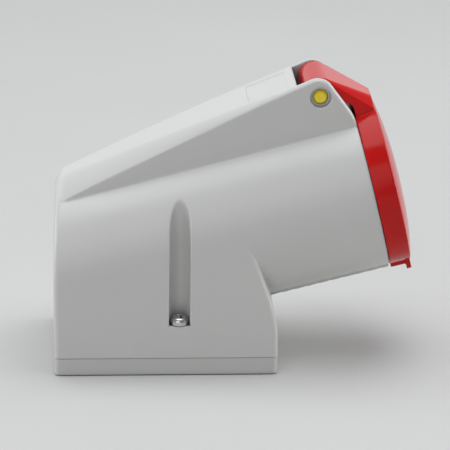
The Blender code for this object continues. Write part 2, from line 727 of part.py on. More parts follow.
def make_hinge_pin():
    end, tip_r = PIN_HALF - PIN_CHAMFER, PIN_R - PIN_CHAMFER
    profile = [
        (-PIN_HALF, 0), (-PIN_HALF, tip_r), (-end, PIN_R),
        (end, PIN_R), (PIN_HALF, tip_r), (PIN_HALF, 0),
    ]
    turned("hinge_pin", profile, 32, YELLOW, PIN_FRAME, origin=HINGE)


def make_spring(coil_r, wire_r, turns, half, sides, steps):
    """A torsion spring about the hinge pin: a close coil with one leg back to the housing
    and one under the lid's arm. half is half the coil's length along Y."""
    leg_z = PIN_Z - coil_r
    path = [Vector((PIN_X - reach, -half, leg_z)) for reach in (6.6, 2.5)]
    total = turns * steps
    for k in range(total + 1):
        angle = -math.pi / 2 + 2 * math.pi * k / steps
        x = PIN_X + coil_r * math.cos(angle)
        z = PIN_Z + coil_r * math.sin(angle)
        path.append(Vector((x, -half + 2 * half * k / total, z)))
    path += [Vector((PIN_X + reach, half, leg_z)) for reach in (2.5, 6.6)]
    last = len(path) - 1
    verts, faces = [], []
    for i, point in enumerate(path):
        ahead = (path[min(i + 1, last)] - path[max(i - 1, 0)]).normalized()
        across = Vector((0, 1, 0))
        across = (across - ahead * across.dot(ahead)).normalized()
        third = ahead.cross(across)
        for s in range(sides):
            angle = 2 * math.pi * s / sides
            verts.append(point + (across * math.cos(angle) + third * math.sin(angle)) * wire_r)
    for i in range(last):
        a, b = i * sides, (i + 1) * sides
        for s in range(sides):
            q = (s + 1) % sides
            faces.append((a + s, a + q, b + q, b + s))
    faces.append(tuple(range(sides)))
    faces.append(tuple(last * sides + s for s in reversed(range(sides))))
    build("lid_spring", verts, faces, STEEL, origin=HINGE, smooth=60)


make_housing()
make_base()
make_base_gasket()
for side, tag in SIDES:
    make_housing_screw(side, tag)
    make_carrier_screw(side, tag)
make_insert()
make_grommet()
pivot = make_pivot()
make_lid(pivot)
make_lid_gasket(pivot)
make_hinge_pin()
make_spring(coil_r=4.2, wire_r=0.45, turns=7, half=4.9, sides=6, steps=14)
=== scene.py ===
"""A wall-mounted 16 A industrial socket outlet with a spring-shut red lid.

The base plate lies on z = 0. The barrel leaves the foot towards +x, tilted up; its lid hinges on a
pin along y above the mouth, and the cable enters the -x face (the tail; the foot's +x face is its
nose). Lengths are in mm until a mesh is made. Moulded parts are contoured from signed distance
fields. (out, lift) are the distances along and above the barrel's axis; rad is the radius round it.
"""

import math
from functools import reduce

import bpy
import bmesh
import numpy as np
from mathutils import Matrix, Vector


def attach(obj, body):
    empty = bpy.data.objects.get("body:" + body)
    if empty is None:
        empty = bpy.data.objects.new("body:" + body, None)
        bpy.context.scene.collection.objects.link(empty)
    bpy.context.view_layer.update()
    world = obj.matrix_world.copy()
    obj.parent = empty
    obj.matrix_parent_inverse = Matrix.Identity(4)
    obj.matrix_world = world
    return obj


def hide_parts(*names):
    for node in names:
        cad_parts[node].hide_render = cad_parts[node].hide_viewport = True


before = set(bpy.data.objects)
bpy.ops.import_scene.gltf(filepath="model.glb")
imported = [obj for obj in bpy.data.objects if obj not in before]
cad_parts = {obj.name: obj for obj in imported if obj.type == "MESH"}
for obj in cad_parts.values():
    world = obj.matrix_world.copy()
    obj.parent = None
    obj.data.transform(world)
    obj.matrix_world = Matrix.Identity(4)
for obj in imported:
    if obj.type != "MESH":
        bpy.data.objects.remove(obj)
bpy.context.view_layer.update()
MM = 0.001

# ---- driving dimensions, mm ----
TILT = math.radians(14.27)
COS, SIN = math.cos(TILT), math.sin(TILT)
AXIS_Z = 46.0  # the barrel's axis at x = 0
BARREL_R, BORE_R, MOUTH = 31.9, 28.9, 81.24
WALL = 2.6
TOP_X, TOP_Z, TOP_SLOPE = 48.84, 108.44, 0.447  # a point of the top face where the hinge gap starts
TOP_NORM = math.hypot(1, TOP_SLOPE)
PIN_X, PIN_Z, PIN_R, PIN_HOLE_R = 57.75, 104.42, 2.72, 2.9
SCREW_X, SCREW_Y = 4.86, 28.55  # housing screws, mirrored in y
CHANNEL_HALF, CHANNEL_DEPTH, CHANNEL_Y = 3.95, 5.7, 30.9  # elliptical troughs for those screws
SHELF_Z = 19.5  # where the screw heads sit
FOOT_Z = 6.72  # underside of the housing
BASE_X, BASE_Y, BASE_TOP = 42.3, 31.77, 6.62  # half length, half width, height of the base plate
ENTRY_X, ENTRY_Z = -42.4, 29.0  # cable entry
SOCKET_RING = 16.5  # pitch radius of the socket holes
CARRIER_Y, CARRIER_LIFT = 21.63, 15.14  # carrier screws, mirrored in y
# pole and its angle round the axis, in degrees
POLES = (
    ("earth", 180.0), ("neutral", 252.0), ("line_1", 324.0), ("line_2", 36.0), ("line_3", 108.0),
)


def to_axis(x, z):
    """(out, lift) of a point."""
    up_z = z - AXIS_Z
    return x * COS + up_z * SIN, up_z * COS - x * SIN


PIN_OUT, PIN_LIFT = to_axis(PIN_X, PIN_Z)
AXIS_FRAME = Matrix(((COS, 0, -SIN, 0), (0, 1, 0, 0), (SIN, 0, COS, AXIS_Z), (0, 0, 0, 1)))
PIN_FRAME = Matrix.Translation((PIN_X, 0, PIN_Z)) @ Matrix.Rotation(math.pi / 2, 4, "Z")


# ================= distance fields: negative inside =================
def meet(one, other, radius):
    """Inside both, their shared edge rounded."""
    inner = np.minimum(np.maximum(one, other), -radius)
    return inner + np.hypot(np.maximum(one + radius, 0), np.maximum(other + radius, 0))


def join(one, other, radius):
    """Inside either, with a fillet where they meet."""
    return -meet(-one, -other, radius)


def cut(body, tool, radius):
    """The body without the tool, the new edge rounded."""
    return meet(body, -tool, radius)


def chamfer(one, other, leg):
    """Inside both, their shared edge cut at 45 degrees."""
    return np.maximum(np.maximum(one, other), (one + other + leg) * 0.70711)


def all_of(*fields):
    return reduce(np.maximum, fields)


def any_of(*fields):
    return reduce(np.minimum, fields)


def between(value, low, high):
    return np.maximum(low - value, value - high)


def roll_off(abs_y, half, width):
    """0 over the middle of a face, rising as a square to 1 at its long edges."""
    return np.square(np.clip((abs_y - half) / width + 1, 0, 1.3))


def curve(points):
    """A smooth curve through (position, value) points, and its slope, as fast lookups."""
    at, value = np.array(points, float).T
    chord = np.diff(value) / np.diff(at)
    slope = np.concatenate([[chord[0]], (chord[:-1] + chord[1:]) / 2, [chord[-1]]])
    fine = np.arange(at[0], at[-1], 0.02)
    k = np.clip(np.searchsorted(at, fine, side="right") - 1, 0, len(at) - 2)
    step = at[k + 1] - at[k]
    s = (fine - at[k]) / step
    values = (
        (2 * s**3 - 3 * s**2 + 1) * value[k] + (s**3 - 2 * s**2 + s) * step * slope[k]
        + (-2 * s**3 + 3 * s**2) * value[k + 1] + (s**3 - s**2) * step * slope[k + 1]
    )
    slopes = np.gradient(values, fine)
    return (lambda x: np.interp(x, fine, values)), (lambda x: np.interp(x, fine, slopes))


# ================= contouring =================
def bands(low, high, step, *fine):
    """Grid lines about step apart, closer inside each (low, high, step) of fine."""
    ends = [c for start, end, _ in fine for c in (start, end) if low < c < high]
    cuts = sorted({low, high, *ends})
    lines = [low]
    for start, end in zip(cuts, cuts[1:]):
        mid = (start + end) / 2
        pitch = min([step] + [s for i, j, s in fine if i <= mid <= j])
        count = max(1, round((end - start) / pitch))
        lines += [start + (end - start) * k / count for k in range(1, count + 1)]
    return np.array(lines) + 0.00371  # off the round numbers, so no surface lies on a grid line


def gradient(distance, points, step=0.012):
    slope = np.empty_like(points)
    for axis in range(3):
        shift = np.zeros(3)
        shift[axis] = step
        slope[:, axis] = distance(*(points + shift).T) - distance(*(points - shift).T)
    return slope / np.maximum(np.linalg.norm(slope, axis=1, keepdims=True), 1e-9)


def edge_crossings(distance, grids):
    """Where the surface crosses grid edges, the four cells round each, and if it faces up-axis."""
    xs, ys, zs = (lines.astype(np.float32) for lines in grids)
    field = distance(xs[:, None, None], ys[None, :, None], zs[None, None, :])
    field = np.broadcast_to(field, [len(lines) for lines in grids]).astype(np.float32)
    inside = field < 0
    cells_y, cells_z = len(ys) - 1, len(zs) - 1
    points, rings, outward = [], [], []
    for axis in range(3):
        swung = np.moveaxis(inside, axis, 0)
        hits = np.argwhere(swung[:-1] != swung[1:])
        start = np.empty_like(hits)
        start[:, [axis] + [d for d in range(3) if d != axis]] = hits
        end = start.copy()
        end[:, axis] += 1
        corner0, corner1 = (
            np.stack([grids[d][node[:, d]] for d in range(3)], 1) for node in (start, end)
        )
        value0 = field[tuple(start.T)].astype(float)
        value1 = field[tuple(end.T)].astype(float)
        outward.append(value0 < 0)
        # false position, kept inside the bracket
        share0, share1 = np.zeros(len(value0)), np.ones(len(value0))
        for _ in range(7):
            rise = value1 - value0
            rise = np.where(np.abs(rise) < 1e-12, 1e-12, rise)
            share = (share0 * value1 - share1 * value0) / rise
            margin = 0.02 * (share1 - share0)
            share = np.clip(share, share0 + margin, share1 - margin)
            point = corner0 + (corner1 - corner0) * share[:, None]
            value = distance(*point.T)
            low = (value < 0) == (value0 < 0)
            share0, share1 = np.where(low, share, share0), np.where(low, share1, share)
            value0 = np.where(low, value, value0 * 0.6)
            value1 = np.where(low, value1 * 0.6, value)
        points.append(point)
        # counter-clockwise seen from the far end of the axis
        first, second = ((1, 2), (2, 0), (0, 1))[axis]
        ring = []
        for shift1, shift2 in ((-1, -1), (0, -1), (0, 0), (-1, 0)):
            cell = start.copy()
            cell[:, first] += shift1
            cell[:, second] += shift2
            ring.append((cell[:, 0] * cells_y + cell[:, 1]) * cells_z + cell[:, 2])
        rings.append(np.stack(ring, 1))
    return np.concatenate(points), np.concatenate(rings), np.concatenate(outward)


def place_vertices(distance, grids, points, rings):
    """One vertex per crossed cell, where the tangent planes round it meet.

    Returns the quads, the vertices and which vertices lie on a sharp edge.
    """
    normals = gradient(distance, points)
    cells, quads = np.unique(rings.ravel(), return_inverse=True)
    quads = quads.reshape(rings.shape)
    count = len(cells)
    owner = quads.ravel()
    source = np.repeat(np.arange(len(points)), 4)

    def gather(values):
        return np.bincount(owner, values[source], count)

    number = np.bincount(owner, minlength=count).astype(float)
    mean = np.stack([gather(points[:, d]) for d in range(3)], 1) / number[:, None]
    square = np.zeros((count, 3, 3))
    for i in range(3):
        for j in range(i, 3):
            square[:, i, j] = square[:, j, i] = gather(normals[:, i] * normals[:, j])
    offset = np.einsum("ij,ij->i", normals, points)
    target = np.stack([gather(normals[:, d] * offset) for d in range(3)], 1)
    target = target - np.einsum("nij,nj->ni", square, mean)
    strength, basis = np.linalg.eigh(square)
    keep = strength > 0.06 * strength[:, 2:3]
    inverse = np.where(keep, 1 / np.maximum(strength, 1e-9), 0)
    move = np.einsum("nij,nj->ni", basis, inverse * np.einsum("nij,ni->nj", basis, target))

    cells_y, cells_z = len(grids[1]) - 1, len(grids[2]) - 1
    where = (cells // (cells_y * cells_z), (cells // cells_z) % cells_y, cells % cells_z)
    low = np.stack([lines[k] for lines, k in zip(grids, where)], 1)
    high = np.stack([lines[k + 1] for lines, k in zip(grids, where)], 1)
    verts = np.clip(mean + move, low, high)
    sharp = keep.sum(1) > 1
    smooth = ~sharp
    for _ in range(2):
        spot = verts[smooth]
        pull = np.clip(distance(*spot.T), -0.3, 0.3)[:, None]
        spot = spot - gradient(distance, spot) * pull
        verts[smooth] = np.clip(spot, low[smooth], high[smooth])
    return quads, verts, sharp


def add_object(name, mesh):
    piece = bpy.data.objects.new(name, mesh)
    bpy.context.scene.collection.objects.link(piece)
    return piece


def contour(name, distance, xs, ys, zs, place=None):
    """A closed quad mesh of distance = 0 that keeps sharp edges, with exact corner normals."""
    grids = (xs, ys, zs)
    points, rings, outward = edge_crossings(distance, grids)
    quads, verts, sharp = place_vertices(distance, grids, points, rings)
    quads = np.where(outward[:, None], quads, quads[:, ::-1])
    mesh = bpy.data.meshes.new(name)
    mesh.vertices.add(len(verts))
    mesh.vertices.foreach_set("co", (verts * MM).astype(np.float32).ravel())
    mesh.loops.add(quads.size)
    mesh.loops.foreach_set("vertex_index", quads.astype(np.int32).ravel())
    mesh.polygons.add(len(quads))
    mesh.polygons.foreach_set("loop_start", np.arange(0, quads.size, 4, dtype=np.int32))
    mesh.update(calc_edges=True)
    mesh.validate()  # mends quads whose corners run together
    mesh.shade_smooth()

    # normals: taken at the vertex on smooth ground, a little into the face next to a sharp edge
    loops = np.empty(len(mesh.loops), np.int32)
    mesh.loops.foreach_get("vertex_index", loops)
    totals = np.empty(len(mesh.polygons), np.int32)
    mesh.polygons.foreach_get("loop_total", totals)
    faces = len(totals)
    face = np.repeat(np.arange(faces), totals)
    centre = np.stack([np.bincount(face, verts[loops, d], faces) for d in range(3)], 1)
    centre = centre / totals[:, None]
    normals = gradient(distance, verts)[loops]
    near = np.bincount(face, sharp[loops], faces)[face] > 0
    inset = verts[loops[near]] * 0.78 + centre[face[near]] * 0.22
    normals[near] = gradient(distance, inset)
    if place is not None:
        for step in (Matrix.Scale(1 / MM, 4), place, Matrix.Scale(MM, 4)):
            mesh.transform(step)
        normals = normals @ np.array(place.to_3x3()).T
    mesh.normals_split_custom_set(normals.astype(np.float32))
    return add_object(name, mesh)


# ================= turned parts =================
def turned(name, profile, segments, place, sharp, ring=False):
    """(along, radius) points spun about local x; ring closes the profile on itself."""
    verts, faces, rows = [], [], []
    for along, radius in profile:
        if radius < 1e-9:
            rows.append([len(verts)])
            verts.append((along, 0, 0))
            continue
        rows.append(list(range(len(verts), len(verts) + segments)))
        for k in range(segments):
            angle = 2 * math.pi * k / segments
            verts.append((along, radius * math.sin(angle), radius * math.cos(angle)))
    pairs = list(zip(rows, rows[1:])) + ([(rows[-1], rows[0])] if ring else [])
    for one, two in pairs:
        for k in range(segments):
            m = (k + 1) % segments
            if len(one) == 1:
                faces.append((one[0], two[m], two[k]))
            elif len(two) == 1:
                faces.append((one[k], one[m], two[0]))
            else:
                faces.append((one[k], one[m], two[m], two[k]))
    mesh = bpy.data.meshes.new(name)
    mesh.from_pydata([(place @ Vector(v)) * MM for v in verts], [], faces)
    mesh.validate()
    mesh.update()
    work = bmesh.new()
    work.from_mesh(mesh)
    bmesh.ops.recalc_face_normals(work, faces=work.faces)
    work.to_mesh(mesh)
    work.free()
    mesh.shade_smooth()
    mesh.set_sharp_from_angle(angle=math.radians(sharp))
    return add_object(name, mesh)


def softened(points, steps):
    """Profile corners (along, radius, rounding) to a polyline whose rounded corners are arcs."""
    line = []
    for i, (along, radius, rounding) in enumerate(points):
        if not rounding:
            line.append((along, radius))
            continue
        corner = Vector((along, radius))
        back = (Vector(points[i - 1][:2]) - corner).normalized()
        ahead = (Vector(points[i + 1][:2]) - corner).normalized()
        half = math.acos(back.dot(ahead)) / 2
        reach = rounding / math.tan(half)
        centre = corner + (back + ahead).normalized() * (rounding / math.sin(half))
        start, end = corner + back * reach - centre, corner + ahead * reach - centre
        first = math.atan2(start.y, start.x)
        sweep = (math.atan2(end.y, end.x) - first + math.pi) % (2 * math.pi) - math.pi
        for k in range(steps + 1):
            angle = first + sweep * k / steps
            spot = (centre.x + rounding * math.cos(angle), centre.y + rounding * math.sin(angle))
            line.append(spot)
    return line


# ================= materials =================
def map_range(tree, value, source, target, interpolation="LINEAR"):
    node = tree.nodes.new("ShaderNodeMapRange")
    node.interpolation_type = interpolation
    for key, number in zip(("From Min", "From Max", "To Min", "To Max"), (*source, *target)):
        node.inputs[key].default_value = number
    tree.links.new(value, node.inputs["Value"])
    return node.outputs["Result"]


class Nodes:
    """Short calls for building a material's node tree."""

    def __init__(self, name):
        self.mat = bpy.data.materials.new(name)
        self.mat.use_nodes = True
        self.tree = self.mat.node_tree
        self.inputs = self.tree.nodes["Principled BSDF"].inputs
        self.coord = self.tree.nodes.new("ShaderNodeTexCoord").outputs["Object"]

    def link(self, source, target):
        self.tree.links.new(source, target)

    def feed(self, **sockets):
        """Links outputs into the shader; Base_Color stands for Base Color."""
        for key, source in sockets.items():
            self.link(source, self.inputs[key.replace("_", " ")])

    def noise(self, scale, detail=3.0, rough=0.55, distort=0.0, vector=None):
        node = self.tree.nodes.new("ShaderNodeTexNoise")
        node.inputs["Scale"].default_value = scale
        node.inputs["Detail"].default_value = detail
        node.inputs["Roughness"].default_value = rough
        node.inputs["Distortion"].default_value = distort
        self.link(vector or self.coord, node.inputs["Vector"])
        return node.outputs["Fac"]

    def span(self, value, source, target=(0, 1)):
        return map_range(self.tree, value, source, target)

    def mix(self, factor, *colours):
        node = self.tree.nodes.new("ShaderNodeMix")
        node.data_type = "RGBA"
        self.link(factor, node.inputs[0])
        for socket, colour in zip((node.inputs[6], node.inputs[7]), colours):  # colours A and B
            if isinstance(colour, tuple):
                socket.default_value = (*colour, 1)
            else:
                self.link(colour, socket)
        return node.outputs[2]

    def bump(self, height, strength, distance, under=None):
        node = self.tree.nodes.new("ShaderNodeBump")
        node.inputs["Strength"].default_value = strength
        node.inputs["Distance"].default_value = distance
        self.link(height, node.inputs["Height"])
        if under is not None:
            self.link(under, node.inputs["Normal"])
        return node.outputs["Normal"]

    def crevice_shade_mask(self, reach):
        """Ambient occlusion as the mask for painted crevice shade: 1 in the open, falling towards 0
        far into a crevice; reach is in mm.
        """
        node = self.tree.nodes.new("ShaderNodeAmbientOcclusion")
        node.samples = 6
        node.inputs["Distance"].default_value = reach * MM
        return node.outputs["AO"]


def scaled(rgb, factor):
    return tuple(c * factor for c in rgb)


def plastic(name, rgb, rough, grain, tone, spec=0.5, crevice_shade_share=0.55, reach=5.0):
    """Moulded plastic: flow marks, painted shade darkening its crevices, a fine grain, handling
    marks in the gloss.

    tone is how far the colour drifts, crevice_shade_share the colour's share left by the painted
    shade in crevices of size reach.
    """
    m = Nodes(name)
    flow = m.span(m.noise(scale=28, detail=4, rough=0.6, distort=0.6), source=(0.3, 0.7))
    light = tuple(min(1.0, c) for c in scaled(rgb, 1 + tone))
    colour = m.mix(flow, scaled(rgb, 1 - tone), light)
    # painted shade: crevices found by ambient occlusion darken the colour
    hollow = m.span(m.crevice_shade_mask(reach), source=(0.02, 0.66), target=(1.0, 0.0))
    m.feed(Base_Color=m.mix(hollow, colour, scaled(rgb, crevice_shade_share)))
    rub = m.noise(scale=65, detail=5, rough=0.65, distort=1.2)
    m.feed(Roughness=m.span(rub, source=(0.35, 0.72), target=(rough - 0.02, rough + 0.04)))
    grit = m.noise(scale=3200, detail=2, rough=0.5)
    wave = m.bump(m.noise(scale=140, detail=2, rough=0.5), strength=0.10, distance=0.00008)
    m.feed(Normal=m.bump(grit, strength=grain, distance=0.00004, under=wave))
    m.inputs["Specular IOR Level"].default_value = spec
    m.mat.diffuse_color = (*rgb, 1)
    return m.mat


def metal(name, rgb, tint, rough, stretch=(1, 1, 1)):
    """Plated or bare metal: mottled towards tint, fine machining lines, scratches in the gloss."""
    m = Nodes(name)
    mapping = m.tree.nodes.new("ShaderNodeMapping")
    mapping.inputs["Scale"].default_value = stretch
    m.link(m.coord, mapping.inputs["Vector"])
    mottle = m.span(m.noise(scale=320, detail=4, rough=0.6, distort=0.4), source=(0.3, 0.7))
    m.feed(Base_Color=m.mix(mottle, tint, rgb))
    m.inputs["Metallic"].default_value = 1.0
    scratch = m.noise(scale=520, detail=5, rough=0.7, distort=0.8)
    m.feed(Roughness=m.span(scratch, source=(0.3, 0.75), target=(rough - 0.07, rough + 0.12)))
    lines = m.noise(scale=2400, detail=2, rough=0.5, vector=mapping.outputs["Vector"])
    m.feed(Normal=m.bump(lines, strength=0.25, distance=0.00003))
    m.mat.diffuse_color = (*rgb, 1)
    return m.mat


def rubber(name, rgb, rough):
    """Matt rubber with a paler bloom."""
    m = Nodes(name)
    bloom = m.span(m.noise(scale=60, detail=5, rough=0.65, distort=0.5), source=(0.35, 0.75))
    m.feed(Base_Color=m.mix(bloom, rgb, tuple(c * 1.9 + 0.004 for c in rgb)))
    patches = m.noise(scale=90, detail=3)
    m.feed(Roughness=m.span(patches, source=(0.3, 0.7), target=(rough - 0.08, rough + 0.1)))
    grit = m.noise(scale=1800, detail=3, rough=0.6)
    m.feed(Normal=m.bump(grit, strength=0.35, distance=0.00006))
    m.inputs["Specular IOR Level"].default_value = 0.35
    m.mat.diffuse_color = (*rgb, 1)
    return m.mat


# each plastic below has painted shade darkening its crevices
GREY = plastic("shell_grey_plastic", rgb=(0.578, 0.576, 0.566), rough=0.31, grain=0.10,
               tone=0.008, crevice_shade_share=0.2, reach=7.0)
BASE_GREY = plastic("base_grey_plastic", rgb=(0.545, 0.547, 0.535), rough=0.33, grain=0.14,
                    tone=0.012, spec=0.45)
RED = plastic("lid_red_plastic", rgb=(0.52, 0.007, 0.006), rough=0.15, grain=0.08,
              tone=0.04, spec=0.22, crevice_shade_share=0.4)
YELLOW = plastic("pin_yellow_plastic", rgb=(0.98, 0.76, 0.035), rough=0.28, grain=0.10,
                 tone=0.03, crevice_shade_share=0.25, reach=2.0)
INSERT = plastic("insert_black_plastic", rgb=(0.028, 0.028, 0.030), rough=0.42, grain=0.4,
                 tone=0.12)
BLOCK = plastic("terminal_block_plastic", rgb=(0.27, 0.28, 0.285), rough=0.5, grain=0.35,
                tone=0.05)
RUBBER = rubber("seal_rubber_black", rgb=(0.018, 0.018, 0.018), rough=0.72)
BRASS = metal("contact_brass_metal", rgb=(0.78, 0.60, 0.29), tint=(0.62, 0.44, 0.20),
              rough=0.27, stretch=(1, 1, 0.2))
STEEL = metal("screw_zinc_steel", rgb=(0.66, 0.67, 0.68), tint=(0.48, 0.49, 0.50), rough=0.26)
SPRING = metal("spring_bright_steel", rgb=(0.60, 0.61, 0.63), tint=(0.42, 0.42, 0.43), rough=0.24)


def finish_piece(piece, material, body, replaced):
    piece.data.materials.append(material)
    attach(piece, body)
    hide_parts(replaced)


# ================= housing =================
# x of the foot's tail and nose faces, as (z, x)
tail_x, tail_slope = curve([
    (-20, -42.4), (6.8, -42.4), (16, -42.45), (30, -42.6), (42, -42.55), (49, -42.42),
    (56, -42.28), (61, -42.1), (66, -41.8), (71, -41.4), (76, -40.9), (130, -35.5),
])
nose_x, nose_slope = curve([
    (-20, 42.4), (6.7, 42.4), (12, 42.4), (18.1, 42.1), (23, 41.2), (27.8, 39.95), (34, 37.85),
    (40.2, 35.7), (47, 33.1), (54.3, 30.3), (60, 28.1), (80, 20.4), (130, 1.4),
])
# the top face's section, as (x, height of its flat middle over the sloped plane, how far its
# long edges sink, over what width)
TOP_STATIONS = (
    (-60, 1.95, 6.7, 14.0), (-42, 1.95, 6.7, 14.0), (-28, 1.85, 5.6, 12.0), (-13, 1.9, 4.9, 9.3),
    (12.5, 1.5, 3.4, 5.4), (31, 0.95, 1.95, 3.2), (41, 0.5, 1.3, 1.9), (48, 0.25, 1.05, 1.5),
    (58, 0.15, 1.0, 1.4), (130, 0.15, 1.0, 1.4),
)
top_rise, edge_sink, edge_width = (
    curve([(row[0], row[column]) for row in TOP_STATIONS])[0] for column in (1, 2, 3)
)


def screw_radius(x, abs_y):
    """Distance from the nearer housing screw's axis."""
    return np.hypot(x - SCREW_X, abs_y - SCREW_Y)


def carrier_radius(y, lift):
    """Distance from the nearer carrier screw's axis."""
    return np.hypot(np.abs(y) - CARRIER_Y, lift - CARRIER_LIFT)


def outside(x, y, out, lift, z, rad):
    """The solid foot and barrel, and the distance past the tail face."""
    side = np.where(lift < 0, np.abs(y), rad) - BARREL_R
    past_tail = (tail_x(z) - x) / np.sqrt(1 + tail_slope(z) ** 2)
    past_nose = (x - nose_x(z)) / np.sqrt(1 + nose_slope(z) ** 2)
    foot = meet(meet(side, past_tail, 2.0), past_nose, 2.0)
    tail_round = 2.0 + 2.2 * np.clip((lift - 16) / 12, 0, 1)
    barrel = meet(meet(rad - BARREL_R, past_tail, tail_round), out - MOUTH, 0.6)
    return foot, barrel, past_tail


def top_ridge(x, z, abs_y, out, lift, past_tail, over_top, half, sink):
    """The box over the barrel that carries the top face and ends in the hinge."""
    end_slope = (x - 62.6) * 0.8 + (z - 107.9) * 0.6
    top = meet(meet(over_top, end_slope, 4.8), out - MOUTH, 1.2)
    edge = np.interp(x, [-42, 40, 54], [0.2, 0.25, 0.35])
    ridge = np.maximum(meet(abs_y - half, top + sink, edge), -lift)
    return meet(ridge, past_tail, 4.2)


def cut_hinge(body, x, z, abs_y, lift):
    """The gap for the lid's arm, the pin hole and its end recesses."""
    gap = all_of(meet(TOP_X - x, abs_y - 13.3, 0.8), BARREL_R + 0.1 - lift)
    body = cut(body, gap, 0.45)
    pin_rad = np.hypot(x - PIN_X, z - PIN_Z)
    body = cut(body, np.maximum(pin_rad - 4.0, 14.0 - abs_y), 0.3)
    return np.maximum(body, PIN_HOLE_R - pin_rad)


def cut_channels(body, x, z, abs_y):
    """The upright troughs above the housing screws."""
    off_x, off_y = x - SCREW_X, abs_y - CHANNEL_Y
    ring = np.hypot(off_x / CHANNEL_HALF, off_y / CHANNEL_DEPTH)
    slope = np.maximum(np.hypot(off_x / CHANNEL_HALF**2, off_y / CHANNEL_DEPTH**2), 1e-6)
    trough = np.where(off_y > 0, np.abs(off_x) - CHANNEL_HALF, (ring - 1) * ring / slope)
    return cut(body, np.maximum(trough, SHELF_Z - z), 0.55)


def cut_barrel(body, abs_y, out, lift, rad):
    """The rib under the barrel, the bore, its keyway and the carrier screw holes."""
    ends = all_of(between(out, 30.0, MOUTH - 0.35), lift + 20.0)
    body = join(body, meet(meet(abs_y - 8.0, -32.3 - lift, 0.8), ends, 0.3), 0.3)
    body = cut(body, np.maximum(rad - BORE_R, 27.0 - out), 0.5)
    body = np.maximum(body, -np.maximum(rad - 22.6, 20.0 - out))
    body = cut(body, all_of(abs_y - 4.0, between(lift, -31.1, -20.0), 40.0 - out), 0.3)
    return np.maximum(body, -all_of(carrier_radius(abs_y, lift) - 1.5, between(out, 21, 30)))


def housing_field(x, y, z):
    out, lift = to_axis(x, z)
    abs_y, rad = np.abs(y), np.hypot(y, lift)
    foot, barrel, past_tail = outside(x, y, out, lift, z, rad)
    over_top = (z - (TOP_Z + TOP_SLOPE * (x - TOP_X)) - top_rise(x)) / TOP_NORM
    half = 15.7 + (PIN_X - x) * 0.0115  # half width of the ridge
    sink = edge_sink(x) * roll_off(abs_y, half, edge_width(x)) / TOP_NORM
    body = join(foot, barrel, np.clip((-lift - 3) / 10, 0, 1) * 0.3 + 1e-4)
    ridge = top_ridge(x, z, abs_y, out, lift, past_tail, over_top, half, sink)
    body = join(body, ridge, 0.3)
    # the plain recessed field on the top face, 0.38 deep
    inset = all_of(between(x, 31.0, 45.4), np.abs(y + 0.25) - 10.75)
    body = np.maximum(body, over_top + 0.38 * np.clip(0.5 - inset / 0.5, 0, 1))
    body = cut_hinge(body, x, z, abs_y, lift)
    body = cut_channels(body, x, z, abs_y)

    # the hollow, less what stays solid round the bore, screws, cable entry and hinge
    screw_rad, entry_rad = screw_radius(x, abs_y), np.hypot(y, z - ENTRY_Z)
    tube = np.maximum(rad - BARREL_R - 0.02, 24.0 - out)
    inlet = np.maximum(entry_rad - 16.4, x + 38.5)
    hinge = all_of(46.24 - x, abs_y - 15.9, 30.0 - lift)
    loft = all_of(abs_y - (half - 2.5), over_top + sink + WALL, between(x, -38.6, 46.24),
                  2.0 - lift)
    hollow = any_of(foot + WALL, np.minimum(barrel + WALL, 80 - x), loft)
    hollow = all_of(hollow, -tube, 5.6 - screw_rad, -inlet, -hinge)
    body = np.maximum(body, -hollow)

    body = cut_barrel(body, abs_y, out, lift, rad)
    body = np.maximum(body, -np.maximum(screw_rad - 2.2, z - 25))
    body = cut(body, np.maximum(entry_rad - 14.5, x + 40.9), 0.3)
    body = cut(body, np.maximum(entry_rad - 12.6, x + 35.0), 0.2)
    return meet(body, FOOT_Z - z, 0.15)


housing = contour(
    "shell_housing", housing_field,
    bands(-44.6, 88.2, 1.2, (-43.6, -36.5, 0.7), (-0.5, 10.2, 0.42), (30.4, 31.6, 0.5),
          (44.9, 74, 0.6), (74, 88.2, 0.9)),
    bands(-33.6, 33.6, 1.3, (-17.6, -12.6, 0.45), (12.6, 17.6, 0.45), (-33.6, -23.8, 0.7),
          (23.8, 33.6, 0.7)),
    bands(5.8, 113.2, 1.2, (5.8, 8.0, 0.3), (18.8, 20.6, 0.4), (88, 113.2, 0.65)),
)
finish_piece(housing, GREY, "outlet", "housing")


# ================= base plate =================
POST_X, POST_Y, POST_R, POST_HOLE_R = 30.0, 20.0, 4.9, 2.6  # four drilled posts
FLOOR_Z, GROOVE_Z = 2.6, 4.9  # floors of the pocket and of the groove in the rim


def base_field(x, y, z):
    abs_x, abs_y = np.abs(x), np.abs(y)
    screw_rad = screw_radius(x, abs_y)
    post_rad = np.hypot(abs_x - POST_X, abs_y - POST_Y)
    body = meet(meet(meet(abs_x - BASE_X, abs_y - BASE_Y, 1.9), -z, 0.35), z - BASE_TOP, 0.15)
    pocket = np.maximum(meet(abs_x - 37.75, abs_y - 27.25, 2.0), FLOOR_Z - z)
    pocket = np.maximum(pocket, -(screw_rad - 5.8))
    pocket = np.maximum(pocket, -meet(post_rad - POST_R, z - 4.6, 0.4))
    body = cut(body, pocket, 0.25)
    # the groove follows the rim and steps round the screws
    outer = np.maximum(meet(abs_x - 41.2, abs_y - 30.7, 1.6), -(screw_rad - 2.95))
    rim = meet(abs_x - 39.5, abs_y - 29.0, 1.2)
    inner = np.where(screw_rad < 4.65, screw_rad - 4.65, rim)
    body = np.maximum(body, -all_of(outer, -inner, GROOVE_Z - z))
    body = np.maximum(body, -np.maximum(screw_rad - 2.15, 2.2 - z))
    body = cut(body, post_rad - POST_HOLE_R, 0.3)
    # a ring groove in the underside
    return np.maximum(body, -all_of(between(np.hypot(x + 16.0, y), 9.2, 10.2), z - 1.2))


